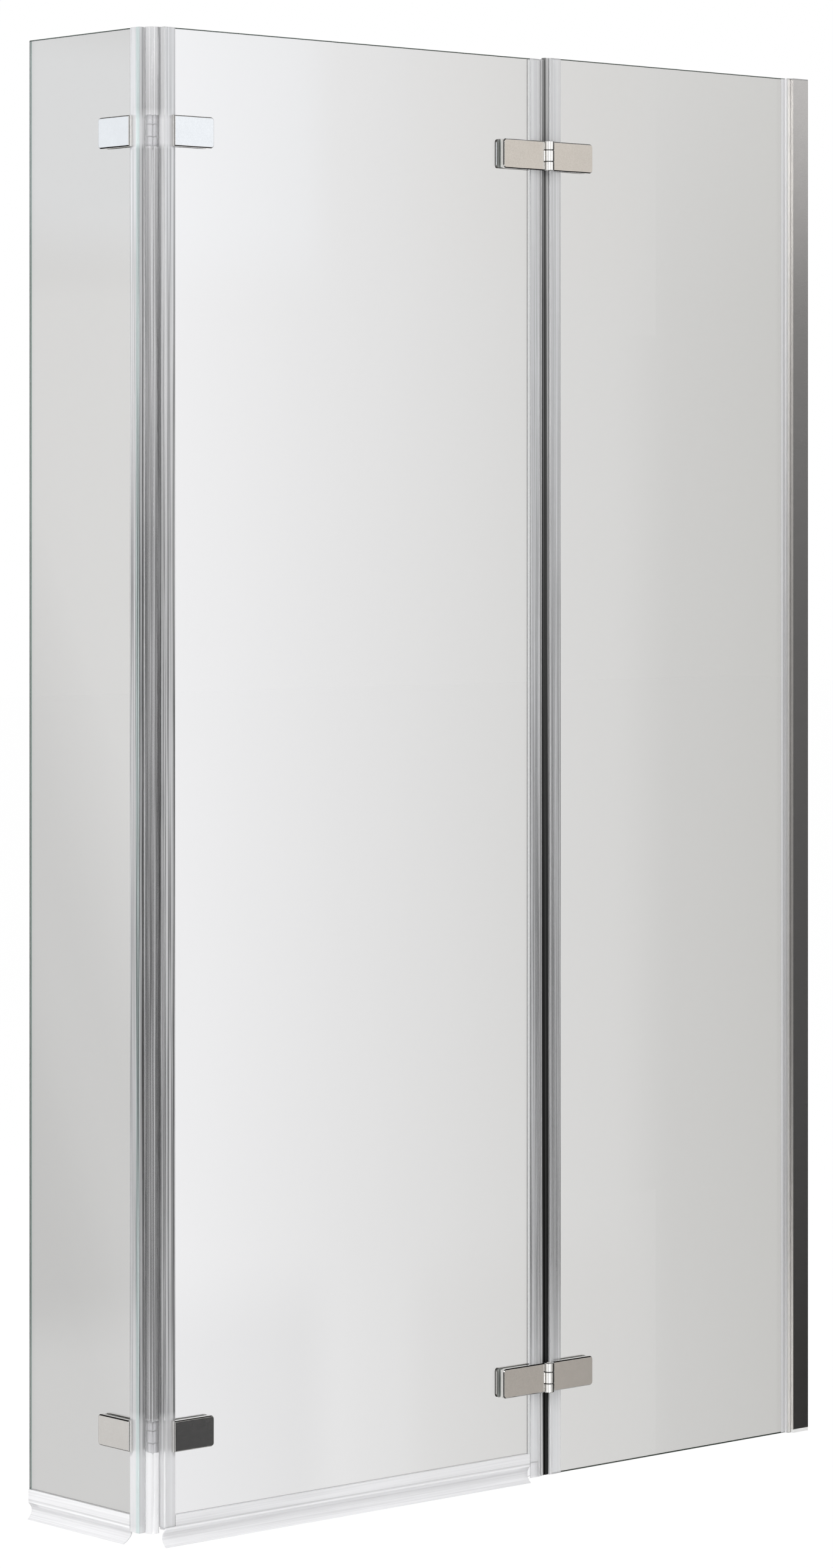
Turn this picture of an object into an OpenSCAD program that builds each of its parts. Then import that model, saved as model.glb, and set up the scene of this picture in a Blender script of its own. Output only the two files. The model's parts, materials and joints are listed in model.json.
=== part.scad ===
// Folding bath screen: a fixed glass panel in a wall channel, a wide glass door hinged to it,
// and a narrow glass return hinged to the door at the corner.
//
// X runs along the bath, with the wall at x = 0 and the screen on the -x side.
// Y points into the bath, so the room is on the -y side. Z is up from the bath rim.
// The mid-plane of the fixed glass and of the door is y = 0.

/* [Screen] */
// From the wall to the middle joint's axis
fixed_reach = 365; // [300:5:600]
// From the middle joint's axis to the corner joint's axis
door_reach = 483; // [400:1:700]
// From the corner joint's axis to the free edge of the return
return_reach = 174; // [150:1:400]
// Height of the fixed glass and its wall channel
screen_height = 1400; // [1100:10:1600]
// Height of the moving glass above the bath rim
moving_lift = 14; // [12:1:20]
// How far the moving glass stops below the top of the fixed glass
moving_drop = 2; // [0:0.5:6]
// Thickness of the glass
glass_t = 6; // [5:0.5:8]

/* [Wall channel] */
// How far the channel stands out from the wall
channel_depth = 22; // [22:0.5:30]
// Width of the channel across the glass
channel_width = 20; // [19:0.5:26]
// Thickness of the channel's two arms
channel_wall = 1.6; // [1.2:0.1:2]
// Thickness of the channel's back
channel_back = 2; // [1.5:0.1:3]
// Width of the guide ribs inside the channel's arms
rib_w = 1.5; // [1:0.1:2.5]
// Outer width of the glazing profile that slides in the channel
profile_width = 13; // [12.6:0.1:14]
// Thickness of the glazing profile's walls
profile_wall = 1.8; // [1.2:0.1:1.9]
// How far the glazing profile stands out past the channel
profile_tip = 4; // [3:0.5:6]
// From the wall to the back of the glazing profile
profile_setback = 10.5; // [10:0.1:11]
// How far the glazing gaskets stand out past the profile
gasket_tip = 1.4; // [0.4:0.1:3]
// How deep the glazing gaskets reach into the profile
gasket_depth = 6; // [4:0.5:6]
// Thickness of the cap under the channel
bottom_cap_t = 3.5; // [2:0.5:5]
// Thickness of the cap on the channel
top_cap_t = 1.2; // [0.8:0.1:2]
// How far the caps' plugs reach into the channel
plug_depth = 8; // [5:1:12]
// Diameter of the screw holes to the wall
wall_hole_d = 5.5; // [4:0.5:7]
// From each end of the screen to the outer wall holes
wall_hole_inset = 100; // [60:10:200]
// Diameter of the screws that hold the profile in the channel
fixing_d = 3.5; // [3:0.1:4.2]
// Diameter of those screws' heads
fixing_head_d = 7; // [6:0.1:8]
// Height of those screws' heads
fixing_head_h = 2.2; // [1.5:0.1:3]
// From each end of the screen to the outer fixing screws
fixing_inset = 60; // [40:5:90]

/* [Hinges] */
// From a joint's axis to the glass edge on either side of it
edge_gap = 8.5; // [8:0.1:10]
// Diameter of the hinge barrel
barrel_d = 10.5; // [9:0.1:11]
// Diameter of the hinge pin
pin_d = 5; // [3:0.1:6]
// Height of a hinge
hinge_height = 29; // [26:0.5:36]
// Height of the middle knuckle
middle_knuckle = 10.8; // [8:0.1:14]
// Height of the gap that each knuckle washer fills
knuckle_gap = 0.6; // [0.5:0.1:1]
// Chamfer on the knuckles' rims
knuckle_chamfer = 0.4; // [0.2:0.05:0.8]
// Length of a clamp plate at the middle joint
plate_len = 42.5; // [38:0.5:60]
// How much further the corner's clamp plates reach over their seals
corner_clamp_lap = 5; // [0:0.5:6]
// Thickness of a clamp plate or leaf
plate_t = 4.2; // [3.8:0.1:6]
// Radius of the plates' outer corners
plate_corner = 3.5; // [2:0.1:6]
// Width of the bevel round the plates' faces
plate_bevel = 1; // [0.4:0.1:1.4]
// From each end of the fixed glass to the middle of a hinge
hinge_inset = 97.5; // [60:0.5:200]
// Diameter of the clamp screws
screw_d = 4; // [3:0.1:4.5]
// Diameter of the clamp screws' countersunk heads
screw_head_d = 7.6; // [6:0.1:8.5]
// Width of the hexagon socket across its corners
socket_d = 2.9; // [2:0.1:3.4]
// Depth of the hexagon socket
socket_depth = 1.5; // [1:0.1:1.8]
// From each end of a clamp plate to its screws
screw_inset = 11; // [9:0.5:13]
// Diameter of the screw holes in the glass
glass_hole_d = 10; // [9:0.5:12]
// How far the pads stop inside the plates' edges
pad_inset = 1; // [0.5:0.1:2]

/* [Seals] */
// Thickness of the clear seals' legs
seal_t = 1; // [0.8:0.1:1.3]
// How far the corner seals' legs lap over the glass
corner_leg = 8.5; // [6:0.5:12]
// How far the middle joint's seal legs lap over the glass
joint_leg = 12; // [9:0.5:14]
// From the corner joint's axis to the end of its seals
corner_seal_end = 3.5; // [3.2:0.1:5]
// From the middle joint's axis to the end of its seals
joint_seal_end = 5; // [4:0.1:6]
// Depth of the dark strips in the middle joint
strip_depth = 5.5; // [4:0.1:6]
// Thickness of the flexible web at the corner
web_t = 0.6; // [0.4:0.1:1]
// Height of the web's foot and of the return's corner seal above the bath rim
corner_foot = 8.5; // [0:0.5:11]
// How far the bottom seals' legs reach up the glass
sill_leg = 10; // [8:0.5:14]
// Thickness of the bottom seals under the glass
sill_base = 2.5; // [2:0.1:4]
// From the corner joint's axis to the end of the door's bottom seal
sill_end = 5.5; // [5:0.5:8]
// Thickness of the wiper blades
wiper_t = 1.2; // [0.8:0.1:1.6]
// How far the wiper blades reach below the bath rim
wiper_drop = 4.5; // [0:0.5:6]
// How far the wiper blades' tips stand out past the seals
wiper_flare = 1.5; // [0:0.5:6]
// How far the wiper blades curve in under the glass
wiper_bulge = 4.5; // [2:0.5:5]
// How far the return's wiper blade is cut back at its corner end
wiper_mitre = 8; // [0:0.5:12]

/* [Fits] */
// Clearance between a seal and the glass in it
seal_play = 0.05; // [0.02:0.01:0.1]
// Radial clearance of a hinge pin in its knuckles
pin_play = 0.03; // [0.02:0.01:0.08]
// Clearance of a washer between two knuckles, on each side
washer_play = 0.05; // [0.02:0.01:0.1]
// Radial clearance round the screws
screw_play = 0.1; // [0.05:0.01:0.2]
// Clearance of the glazing profile in the channel, on each side
channel_play = 0.2; // [0.1:0.05:0.3]
// Gap between the two leaves of a folded hinge, halved
fold_gap = 0.3; // [0.2:0.05:1]
// Least gap between a barrel and the glass beside it
barrel_gap = 0.5; // [0.3:0.05:1]
// Gap that a leaf leaves round the other leaf's knuckles
knuckle_play = 0.4; // [0.3:0.05:0.8]
// Gap between a plate and the seal leg that it passes over
leg_gap = 0.3; // [0.2:0.05:0.5]
// Gap where one seal or pad stops beside another
end_gap = 0.5; // [0.3:0.05:0.8]
// Gap between the corner web and its seals
web_gap = 0.2; // [0.1:0.05:0.4]

/* [Hidden] */
// Row of points on each full circle
$fn = 64;
// Overlap that makes a cut run clear of a face
cut = 1;

// Hinge section, measured across the glass from a joint's axis
pad_t = seal_t + leg_gap;
pivot_off = max(pad_t + plate_t + fold_gap, barrel_d / 2 + barrel_gap);
leaf_back = pivot_off - pad_t;
glass_far = pivot_off + glass_t;
clamp_back = glass_far + pad_t;

// Joint axes
middle_x = -fixed_reach;
middle_y = -(glass_t / 2 + pivot_off);
corner_x = middle_x - door_reach;
corner_y = glass_t / 2 + pivot_off;

// Heights
moving_top = screen_height - moving_drop;
upper_z = screen_height - hinge_inset;
lower_z = hinge_inset;

// Hinge lengths, measured along the glass from a joint's axis
plate_start = edge_gap + corner_leg + end_gap;
plate_end = plate_start + plate_len;
screw_places = [plate_start + screw_inset, plate_end - screw_inset];
outer_knuckle = (hinge_height - middle_knuckle) / 2 - knuckle_gap;
washer_d = barrel_d - 2 * knuckle_chamfer;
blind_depth = plate_t * 0.8;

// Wall channel section, measured from the wall along -x
profile_end = channel_depth + profile_tip;
profile_base = profile_setback + profile_wall;
glass_end = profile_base + end_gap;
gasket_room = profile_width / 2 - profile_wall;
rib_inner = profile_width / 2 + channel_play;
fixing_x = -(profile_base + fixing_head_d / 2);
wall_hole_pitch = (screen_height - 2 * wall_hole_inset) / 3;

// Corner web
web_inner = barrel_d / 2 + 1;
web_outer = web_inner + web_t;
web_end = asin((corner_seal_end - web_gap) / web_outer);

// ---------- Frames at the joints ----------
// In each one, x runs along the glass away from the joint's axis,
// and y runs across it, from the axis to the glass and on to the clamp plate.

module middle_fixed_side() {
    translate([middle_x, middle_y, 0]) children();
}

module middle_door_side() {
    translate([middle_x, middle_y, 0]) mirror([1, 0, 0]) children();
}

module corner_door_side() {
    translate([corner_x, corner_y, 0]) mirror([0, 1, 0]) children();
}

module corner_return_side() {
    translate([corner_x, corner_y, 0]) rotate([0, 0, 90]) children();
}

// ---------- Shapes that repeat ----------

// A plate of length `to - from`, lying on z = 0 with a bevelled face up.
// Its corners at x = `to` are round, and its end at x = `from` is bevelled if `near_bevel` is true.
module bevelled_plate(from, to, near_bevel) {
    half = hinge_height / 2;
    straight = to - plate_corner;
    body_t = plate_t - plate_bevel;
    difference() {
        union() {
            linear_extrude(body_t) {
                translate([from, -half]) square([straight - from, hinge_height]);
                translate([straight, plate_corner - half]) square([plate_corner, hinge_height - 2 * plate_corner]);
                for (side = [-1, 1])
                    translate([straight, side * (half - plate_corner)]) circle(plate_corner);
            }
            // Bevelled layer: a long ridge, a cross ridge at the far end, and a cone in each corner
            translate([from, 0, body_t]) rotate([90, 0, 90]) linear_extrude(straight - from)
                polygon([[-half, 0], [half, 0], [half - plate_bevel, plate_bevel], [plate_bevel - half, plate_bevel]]);
            translate([straight, half - plate_corner, body_t]) rotate([90, 0, 0])
                linear_extrude(hinge_height - 2 * plate_corner)
                    polygon([[0, 0], [plate_corner, 0], [plate_corner - plate_bevel, plate_bevel], [0, plate_bevel]]);
            for (side = [-1, 1])
                translate([straight, side * (half - plate_corner), body_t])
                    cylinder(h = plate_bevel, r1 = plate_corner, r2 = plate_corner - plate_bevel);
        }
        if (near_bevel)
            translate([from, half + cut, body_t]) rotate([90, 0, 0])
                linear_extrude(hinge_height + 2 * cut)
                    polygon([[-cut, 0], [0, 0], [plate_bevel + cut, plate_bevel + cut], [-cut, plate_bevel + cut]]);
    }
}

// One knuckle with chamfered rims, standing on z = `foot`
module knuckle(foot, height) {
    radius = barrel_d / 2;
    translate([0, 0, foot]) rotate_extrude()
        polygon([
            [pin_d / 2 + pin_play, 0], [radius - knuckle_chamfer, 0], [radius, knuckle_chamfer],
            [radius, height - knuckle_chamfer], [radius - knuckle_chamfer, height], [pin_d / 2 + pin_play, height]
        ]);
}

// Clearance hole with a countersink whose mouth is at z = 0, going down
module countersunk_hole(depth) {
    mouth = screw_head_d / 2 + screw_play;
    neck = screw_d / 2 + screw_play;
    translate([0, 0, neck - mouth]) cylinder(h = mouth - neck, r1 = neck, r2 = mouth);
    translate([0, 0, -depth]) cylinder(h = depth + cut - (mouth - neck), r = neck);
    cylinder(h = cut, r = mouth);
}

// Blind threaded hole whose mouth is at z = 0, going up
module blind_hole() {
    translate([0, 0, -cut]) cylinder(h = blind_depth + cut, r = screw_d / 2 + screw_play / 2);
}

// Runs its children at each of a plate's screws
module each_screw() {
    for (place = screw_places) translate([place, 0, 0]) children();
}

// ---------- Hinge pieces, in a joint's frame, about the hinge's middle height z ----------

// A leaf whose barrel has either the two outer knuckles or the middle one.
// The screws start in it, with countersunk heads, if `heads` is true.
module leaf(z, outer, heads) {
    half_gap = middle_knuckle / 2 + knuckle_gap;
    color("silver") translate([0, 0, z]) difference() {
        union() {
            difference() {
                translate([0, leaf_back, 0]) rotate([90, 0, 0]) bevelled_plate(0, plate_end, false);
                // Room for the other leaf's knuckles and their washers
                if (outer)
                    translate([0, 0, -half_gap]) cylinder(h = 2 * half_gap, r = barrel_d / 2 + knuckle_play);
                else
                    for (foot = [-half_gap - outer_knuckle - cut, middle_knuckle / 2])
                        translate([0, 0, foot])
                            cylinder(h = outer_knuckle + knuckle_gap + cut, r = barrel_d / 2 + knuckle_play);
            }
            if (outer)
                for (foot = [-half_gap - outer_knuckle, half_gap]) knuckle(foot, outer_knuckle);
            else
                knuckle(-middle_knuckle / 2, middle_knuckle);
        }
        translate([0, 0, -hinge_height / 2 - cut]) cylinder(h = hinge_height + 2 * cut, r = pin_d / 2 + pin_play);
        each_screw() {
            if (heads)
                translate([0, leaf_back - plate_t, 0]) rotate([90, 0, 0]) countersunk_hole(plate_t + cut);
            else
                translate([0, leaf_back, 0]) rotate([90, 0, 0]) blind_hole();
        }
    }
}

// The plain plate on the other face of the glass, which reaches `lap` further over the seal
module clamp(z, heads, lap = 0) {
    color("silver") translate([0, clamp_back, z]) difference() {
        mirror([0, 1, 0]) rotate([90, 0, 0]) bevelled_plate(plate_start - lap, plate_end, true);
        each_screw() {
            if (heads)
                translate([0, plate_t, 0]) rotate([-90, 0, 0]) countersunk_hole(plate_t + cut);
            else
                rotate([-90, 0, 0]) blind_hole();
        }
    }
}

// One soft pad with a collar in each glass hole, lying on z = 0 with the collars up
module pad(start) {
    width = hinge_height - 2 * pad_inset;
    collar = pad_t + glass_t / 2 - seal_play;
    difference() {
        union() {
            translate([start, -width / 2, 0]) cube([plate_end - pad_inset - start, width, pad_t]);
            each_screw() cylinder(h = collar, r = glass_hole_d / 2 - screw_play);
        }
        each_screw() translate([0, 0, -cut]) cylinder(h = collar + 2 * cut, r = screw_d / 2 + screw_play);
    }
}

// The two pads between the plates and the glass, clear of the seal's leg
module pads(z, leg) {
    start = edge_gap + leg + end_gap;
    color("whitesmoke") translate([0, 0, z]) {
        translate([0, leaf_back, 0]) mirror([0, 0, 1]) rotate([-90, 0, 0]) pad(start);
        translate([0, clamp_back, 0]) rotate([90, 0, 0]) pad(start);
    }
}

// One clamp screw, its head flush with z = 0, going down
module clamp_screw() {
    head_h = (screw_head_d - screw_d) / 2;
    length = 2 * (plate_t + pad_t) + glass_t - plate_t + blind_depth - screw_play;
    difference() {
        union() {
            translate([0, 0, -head_h]) cylinder(h = head_h, r1 = screw_d / 2, r2 = screw_head_d / 2);
            translate([0, 0, -length]) cylinder(h = length - head_h, r = screw_d / 2);
        }
        translate([0, 0, -socket_depth]) cylinder(h = socket_depth + cut, d = socket_d, $fn = 6);
    }
}

// A side's two clamp screws, with their heads in the leaf or in the clamp plate
module screws(z, heads_in_leaf) {
    color("gainsboro") translate([0, 0, z]) each_screw() {
        if (heads_in_leaf)
            translate([0, leaf_back - plate_t, 0]) rotate([90, 0, 0]) clamp_screw();
        else
            translate([0, clamp_back + plate_t, 0]) rotate([-90, 0, 0]) clamp_screw();
    }
}

// The pin through a barrel, a little short of its ends
module pin(z) {
    length = hinge_height - 2 * knuckle_chamfer;
    color("dimgray") translate([0, 0, z - length / 2]) cylinder(h = length, r = pin_d / 2);
}

// The two washers between the knuckles
module washers(z) {
    thickness = knuckle_gap - 2 * washer_play;
    color("dimgray")
        for (foot = [-middle_knuckle / 2 - knuckle_gap, middle_knuckle / 2])
            translate([0, 0, z + foot + washer_play]) difference() {
                cylinder(h = thickness, r = washer_d / 2);
                translate([0, 0, -cut]) cylinder(h = thickness + 2 * cut, r = pin_d / 2 + pin_play);
            }
}

// ---------- Wall channel and its pieces ----------

module wall_channel() {
    half = channel_width / 2;
    foot = bottom_cap_t;
    color("gray") difference() {
        translate([0, 0, foot]) linear_extrude(screen_height - top_cap_t - foot) {
            translate([-channel_back, -half]) square([channel_back, channel_width]);
            for (side = [0, 1]) mirror([0, side]) {
                translate([-channel_depth, half - channel_wall]) square([channel_depth, channel_wall]);
                // Guide ribs at the mouth and beside the profile's back
                for (rib = [-channel_depth, -profile_base - rib_w / 2])
                    translate([rib, rib_inner]) square([rib_w, half - rib_inner]);
            }
        }
        for (hole = [0 : 3])
            translate([-channel_back - cut, 0, wall_hole_inset + hole * wall_hole_pitch]) rotate([0, 90, 0])
                cylinder(h = channel_back + 2 * cut, r = wall_hole_d / 2);
        each_fixing(fixing_d / 2 + screw_play);
    }
}

// A bore of the given radius at each screw that holds the profile in the channel, from the bath side
module each_fixing(radius) {
    for (height = [fixing_inset, screen_height / 2, screen_height - fixing_inset])
        translate([fixing_x, gasket_room - cut, height]) rotate([-90, 0, 0])
            cylinder(h = channel_width / 2 - gasket_room + 2 * cut, r = radius);
}

module glazing_profile() {
    color("lightgray") difference() {
        linear_extrude(screen_height) difference() {
            translate([-profile_end, -profile_width / 2])
                square([profile_end - profile_setback, profile_width]);
            translate([-profile_end - cut, -gasket_room])
                square([profile_end + cut - profile_base, 2 * gasket_room]);
        }
        each_fixing(fixing_d / 2 + screw_play / 2);
    }
}

module glazing_gaskets() {
    inner = glass_t / 2 + seal_play;
    color("lightcyan") linear_extrude(screen_height)
        for (side = [0, 1]) mirror([0, side])
            translate([-profile_end - gasket_tip, inner])
                square([gasket_tip + gasket_depth, gasket_room - inner - seal_play]);
}

module profile_screws() {
    tip = glass_t / 2 + end_gap;
    color("silver")
        for (height = [fixing_inset, screen_height / 2, screen_height - fixing_inset])
            translate([fixing_x, 0, height]) rotate([-90, 0, 0]) difference() {
                union() {
                    translate([0, 0, tip]) cylinder(h = channel_width / 2 - tip, r = fixing_d / 2);
                    translate([0, 0, channel_width / 2])
                        cylinder(h = fixing_head_h, r1 = fixing_head_d / 2, r2 = fixing_head_d * 0.36);
                }
                // Cross recess
                for (turn = [0, 90])
                    rotate([0, 0, turn]) translate([-fixing_d / 2, -fixing_d / 8, channel_width / 2 + fixing_head_h / 2])
                        cube([fixing_d, fixing_d / 4, fixing_head_h]);
            }
}

// A cap over one end of the channel, lying on z = 0 with its plug up
module end_cap(thickness) {
    half = channel_width / 2;
    plug_half = half - channel_wall - channel_play;
    plug_from = channel_back + channel_play;
    plug_len = profile_setback - channel_play - plug_from;
    linear_extrude(thickness) difference() {
        translate([-channel_depth, -half]) square([channel_depth, channel_width]);
        translate([-channel_depth - cut, -rib_inner])
            square([channel_depth + cut - profile_setback + channel_play, 2 * rib_inner]);
    }
    translate([-plug_from - plug_len, -plug_half, 0]) cube([plug_len, 2 * plug_half, thickness + plug_depth]);
}

module bottom_cap() {
    color("whitesmoke") end_cap(bottom_cap_t);
}

module top_cap() {
    color("gray") translate([0, 0, screen_height]) mirror([0, 0, 1]) end_cap(top_cap_t);
}

// ---------- Glass ----------

// The screw holes of both hinges, in a joint's frame
module hinge_holes() {
    for (z = [lower_z, upper_z])
        translate([0, pivot_off - cut, z]) rotate([-90, 0, 0])
            each_screw() cylinder(h = glass_t + 2 * cut, r = glass_hole_d / 2);
}

module fixed_glass() {
    left = middle_x + edge_gap;
    color("lightblue", 0.4) difference() {
        translate([left, -glass_t / 2, 0]) cube([-glass_end - left, glass_t, screen_height]);
        middle_fixed_side() hinge_holes();
    }
}

module door_glass() {
    color("lightblue", 0.4) difference() {
        translate([corner_x + edge_gap, -glass_t / 2, moving_lift])
            cube([door_reach - 2 * edge_gap, glass_t, moving_top - moving_lift]);
        middle_door_side() hinge_holes();
        corner_door_side() hinge_holes();
    }
}

module return_glass() {
    color("lightblue", 0.4) corner_return_side() difference() {
        translate([edge_gap, pivot_off, moving_lift])
            cube([return_reach - edge_gap, glass_t, moving_top - moving_lift]);
        hinge_holes();
    }
}

// ---------- Seals ----------

// A clear clip on a glass edge, from `foot` to `top`: two legs over the glass and a block past its edge
module edge_seal(end, leg, foot, top) {
    color("aliceblue") translate([0, 0, foot]) linear_extrude(top - foot) difference() {
        translate([end, pivot_off - seal_t]) square([edge_gap + leg - end, glass_t + 2 * seal_t]);
        translate([edge_gap - seal_play, pivot_off - seal_play])
            square([leg + cut, glass_t + 2 * seal_play]);
    }
}

// A dark strip that meets its twin in the middle joint, clear of the barrel
module joint_strip(top) {
    color("black")
        translate([end_gap / 2, glass_far - strip_depth, 0])
            cube([joint_seal_end - end_gap / 2, strip_depth, top]);
}

// The flexible web round the outside of the corner
module corner_web() {
    color("lightsteelblue") translate([corner_x, corner_y, 0]) rotate([0, 0, 180 - web_end])
        rotate_extrude(angle = 90 + 2 * web_end)
            translate([web_inner, corner_foot]) square([web_t, moving_top - corner_foot]);
}

// Bottom seal from x = `end` to `to`, with the outer side of the glass at the larger y.
// Its legs start at x = `from`, and its blade is cut back by `mitre` at that end.
module bottom_seal(end, from, to, mitre) {
    outside = glass_far + seal_t - seal_play;
    foot = moving_lift - sill_base;
    base_top = moving_lift - seal_play;
    steps = 12;
    // The blade goes down from the seal's outer face, curves in under the glass and comes out again
    function sweep(share) = [
        outside + wiper_flare * share - 4 * wiper_bulge * share * (1 - share),
        foot - (foot + wiper_drop) * share
    ];
    color("aliceblue") difference() {
        rotate([90, 0, 90]) {
            translate([0, 0, from]) linear_extrude(to - from) difference() {
                translate([pivot_off - seal_t, foot]) square([glass_t + 2 * seal_t, sill_base + sill_leg]);
                translate([pivot_off - seal_play, base_top])
                    square([glass_t + 2 * seal_play, sill_leg + cut]);
            }
            translate([0, 0, end]) linear_extrude(to - end)
                translate([pivot_off - seal_t, foot]) square([glass_t + 2 * seal_t, base_top - foot]);
            translate([0, 0, end]) linear_extrude(to - end) polygon(concat(
                [[outside, foot + sill_base / 2]],
                [for (step = [0 : steps]) sweep(step / steps)],
                [for (step = [steps : -1 : 0]) sweep(step / steps) - [wiper_t, 0]],
                [[outside - wiper_t, foot + sill_base / 2]]
            ));
        }
        if (mitre > 0)
            translate([0, glass_far + glass_t, 0]) rotate([90, 0, 0]) linear_extrude(3 * glass_t)
                polygon([
                    [end - cut, foot - sill_base / 2], [end, foot - sill_base / 2],
                    [end + mitre, -wiper_drop], [end + mitre, -wiper_drop - cut],
                    [end - cut, -wiper_drop - cut]
                ]);
    }
}

module fixed_joint_seal() {
    middle_fixed_side() edge_seal(joint_seal_end, joint_leg, 0, screen_height);
}

module fixed_joint_strip() {
    middle_fixed_side() joint_strip(screen_height);
}

module door_joint_seal() {
    middle_door_side() edge_seal(joint_seal_end, joint_leg, 0, moving_top);
}

module door_joint_strip() {
    middle_door_side() joint_strip(moving_top);
}

module door_corner_seal() {
    corner_door_side() edge_seal(corner_seal_end, corner_leg, moving_lift, moving_top);
}

module return_corner_seal() {
    corner_return_side() edge_seal(corner_seal_end, corner_leg, corner_foot, moving_top);
}

module door_bottom_seal() {
    corner_door_side()
        bottom_seal(sill_end, plate_start, door_reach - edge_gap - joint_leg - end_gap, 0);
}

module return_bottom_seal() {
    corner_return_side()
        bottom_seal(plate_start, plate_start, return_reach - end_gap, wiper_mitre);
}

// ---------- The screen ----------
// The middle hinges have their barrels on the room side, so their screws start in the clamp plates.
// The corner hinges have theirs on the bath side, so their screws start in the leaves.
// Every screw head is on the bath side.

wall_channel();
glazing_profile();
glazing_gaskets();
profile_screws();
bottom_cap();
top_cap();
fixed_glass();
fixed_joint_seal();
fixed_joint_strip();
door_glass();
door_joint_seal();
door_joint_strip();
door_corner_seal();
door_bottom_seal();
return_glass();
return_corner_seal();
return_bottom_seal();
corner_web();

middle_fixed_side() leaf(upper_z, true, false);  // middle_upper_fixed_leaf
middle_door_side() leaf(upper_z, false, false);  // middle_upper_door_leaf
middle_fixed_side() clamp(upper_z, true);  // middle_upper_fixed_clamp
middle_door_side() clamp(upper_z, true);  // middle_upper_door_clamp
middle_fixed_side() pads(upper_z, joint_leg);  // middle_upper_fixed_pads
middle_door_side() pads(upper_z, joint_leg);  // middle_upper_door_pads
middle_fixed_side() screws(upper_z, false);  // middle_upper_fixed_screws
middle_door_side() screws(upper_z, false);  // middle_upper_door_screws
middle_fixed_side() pin(upper_z);  // middle_upper_pin
middle_fixed_side() washers(upper_z);  // middle_upper_washers

middle_fixed_side() leaf(lower_z, true, false);  // middle_lower_fixed_leaf
middle_door_side() leaf(lower_z, false, false);  // middle_lower_door_leaf
middle_fixed_side() clamp(lower_z, true);  // middle_lower_fixed_clamp
middle_door_side() clamp(lower_z, true);  // middle_lower_door_clamp
middle_fixed_side() pads(lower_z, joint_leg);  // middle_lower_fixed_pads
middle_door_side() pads(lower_z, joint_leg);  // middle_lower_door_pads
middle_fixed_side() screws(lower_z, false);  // middle_lower_fixed_screws
middle_door_side() screws(lower_z, false);  // middle_lower_door_screws
middle_fixed_side() pin(lower_z);  // middle_lower_pin
middle_fixed_side() washers(lower_z);  // middle_lower_washers

corner_door_side() leaf(upper_z, true, true);  // corner_upper_door_leaf
corner_return_side() leaf(upper_z, false, true);  // corner_upper_return_leaf
corner_door_side() clamp(upper_z, false, corner_clamp_lap);  // corner_upper_door_clamp
corner_return_side() clamp(upper_z, false, corner_clamp_lap);  // corner_upper_return_clamp
corner_door_side() pads(upper_z, corner_leg);  // corner_upper_door_pads
corner_return_side() pads(upper_z, corner_leg);  // corner_upper_return_pads
corner_door_side() screws(upper_z, true);  // corner_upper_door_screws
corner_return_side() screws(upper_z, true);  // corner_upper_return_screws
corner_door_side() pin(upper_z);  // corner_upper_pin
corner_door_side() washers(upper_z);  // corner_upper_washers

corner_door_side() leaf(lower_z, true, true);  // corner_lower_door_leaf
corner_return_side() leaf(lower_z, false, true);  // corner_lower_return_leaf
corner_door_side() clamp(lower_z, false, corner_clamp_lap);  // corner_lower_door_clamp
corner_return_side() clamp(lower_z, false, corner_clamp_lap);  // corner_lower_return_clamp
corner_door_side() pads(lower_z, corner_leg);  // corner_lower_door_pads
corner_return_side() pads(lower_z, corner_leg);  // corner_lower_return_pads
corner_door_side() screws(lower_z, true);  // corner_lower_door_screws
corner_return_side() screws(lower_z, true);  // corner_lower_return_screws
corner_door_side() pin(lower_z);  // corner_lower_pin
corner_door_side() washers(lower_z);  // corner_lower_washers
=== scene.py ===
"""Folding bath screen: finishes, glass, seals and studio around the fixed CAD frame.

The CAD row runs from the wall along -X. +Y points into the bath and -Y into the room, and
+Z is up from the bath rim. Everything here is in metres in that same row.
"""

import json
import math

import bpy
from bpy.props import FloatProperty, FloatVectorProperty, PointerProperty
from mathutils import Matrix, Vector, noise

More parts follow.
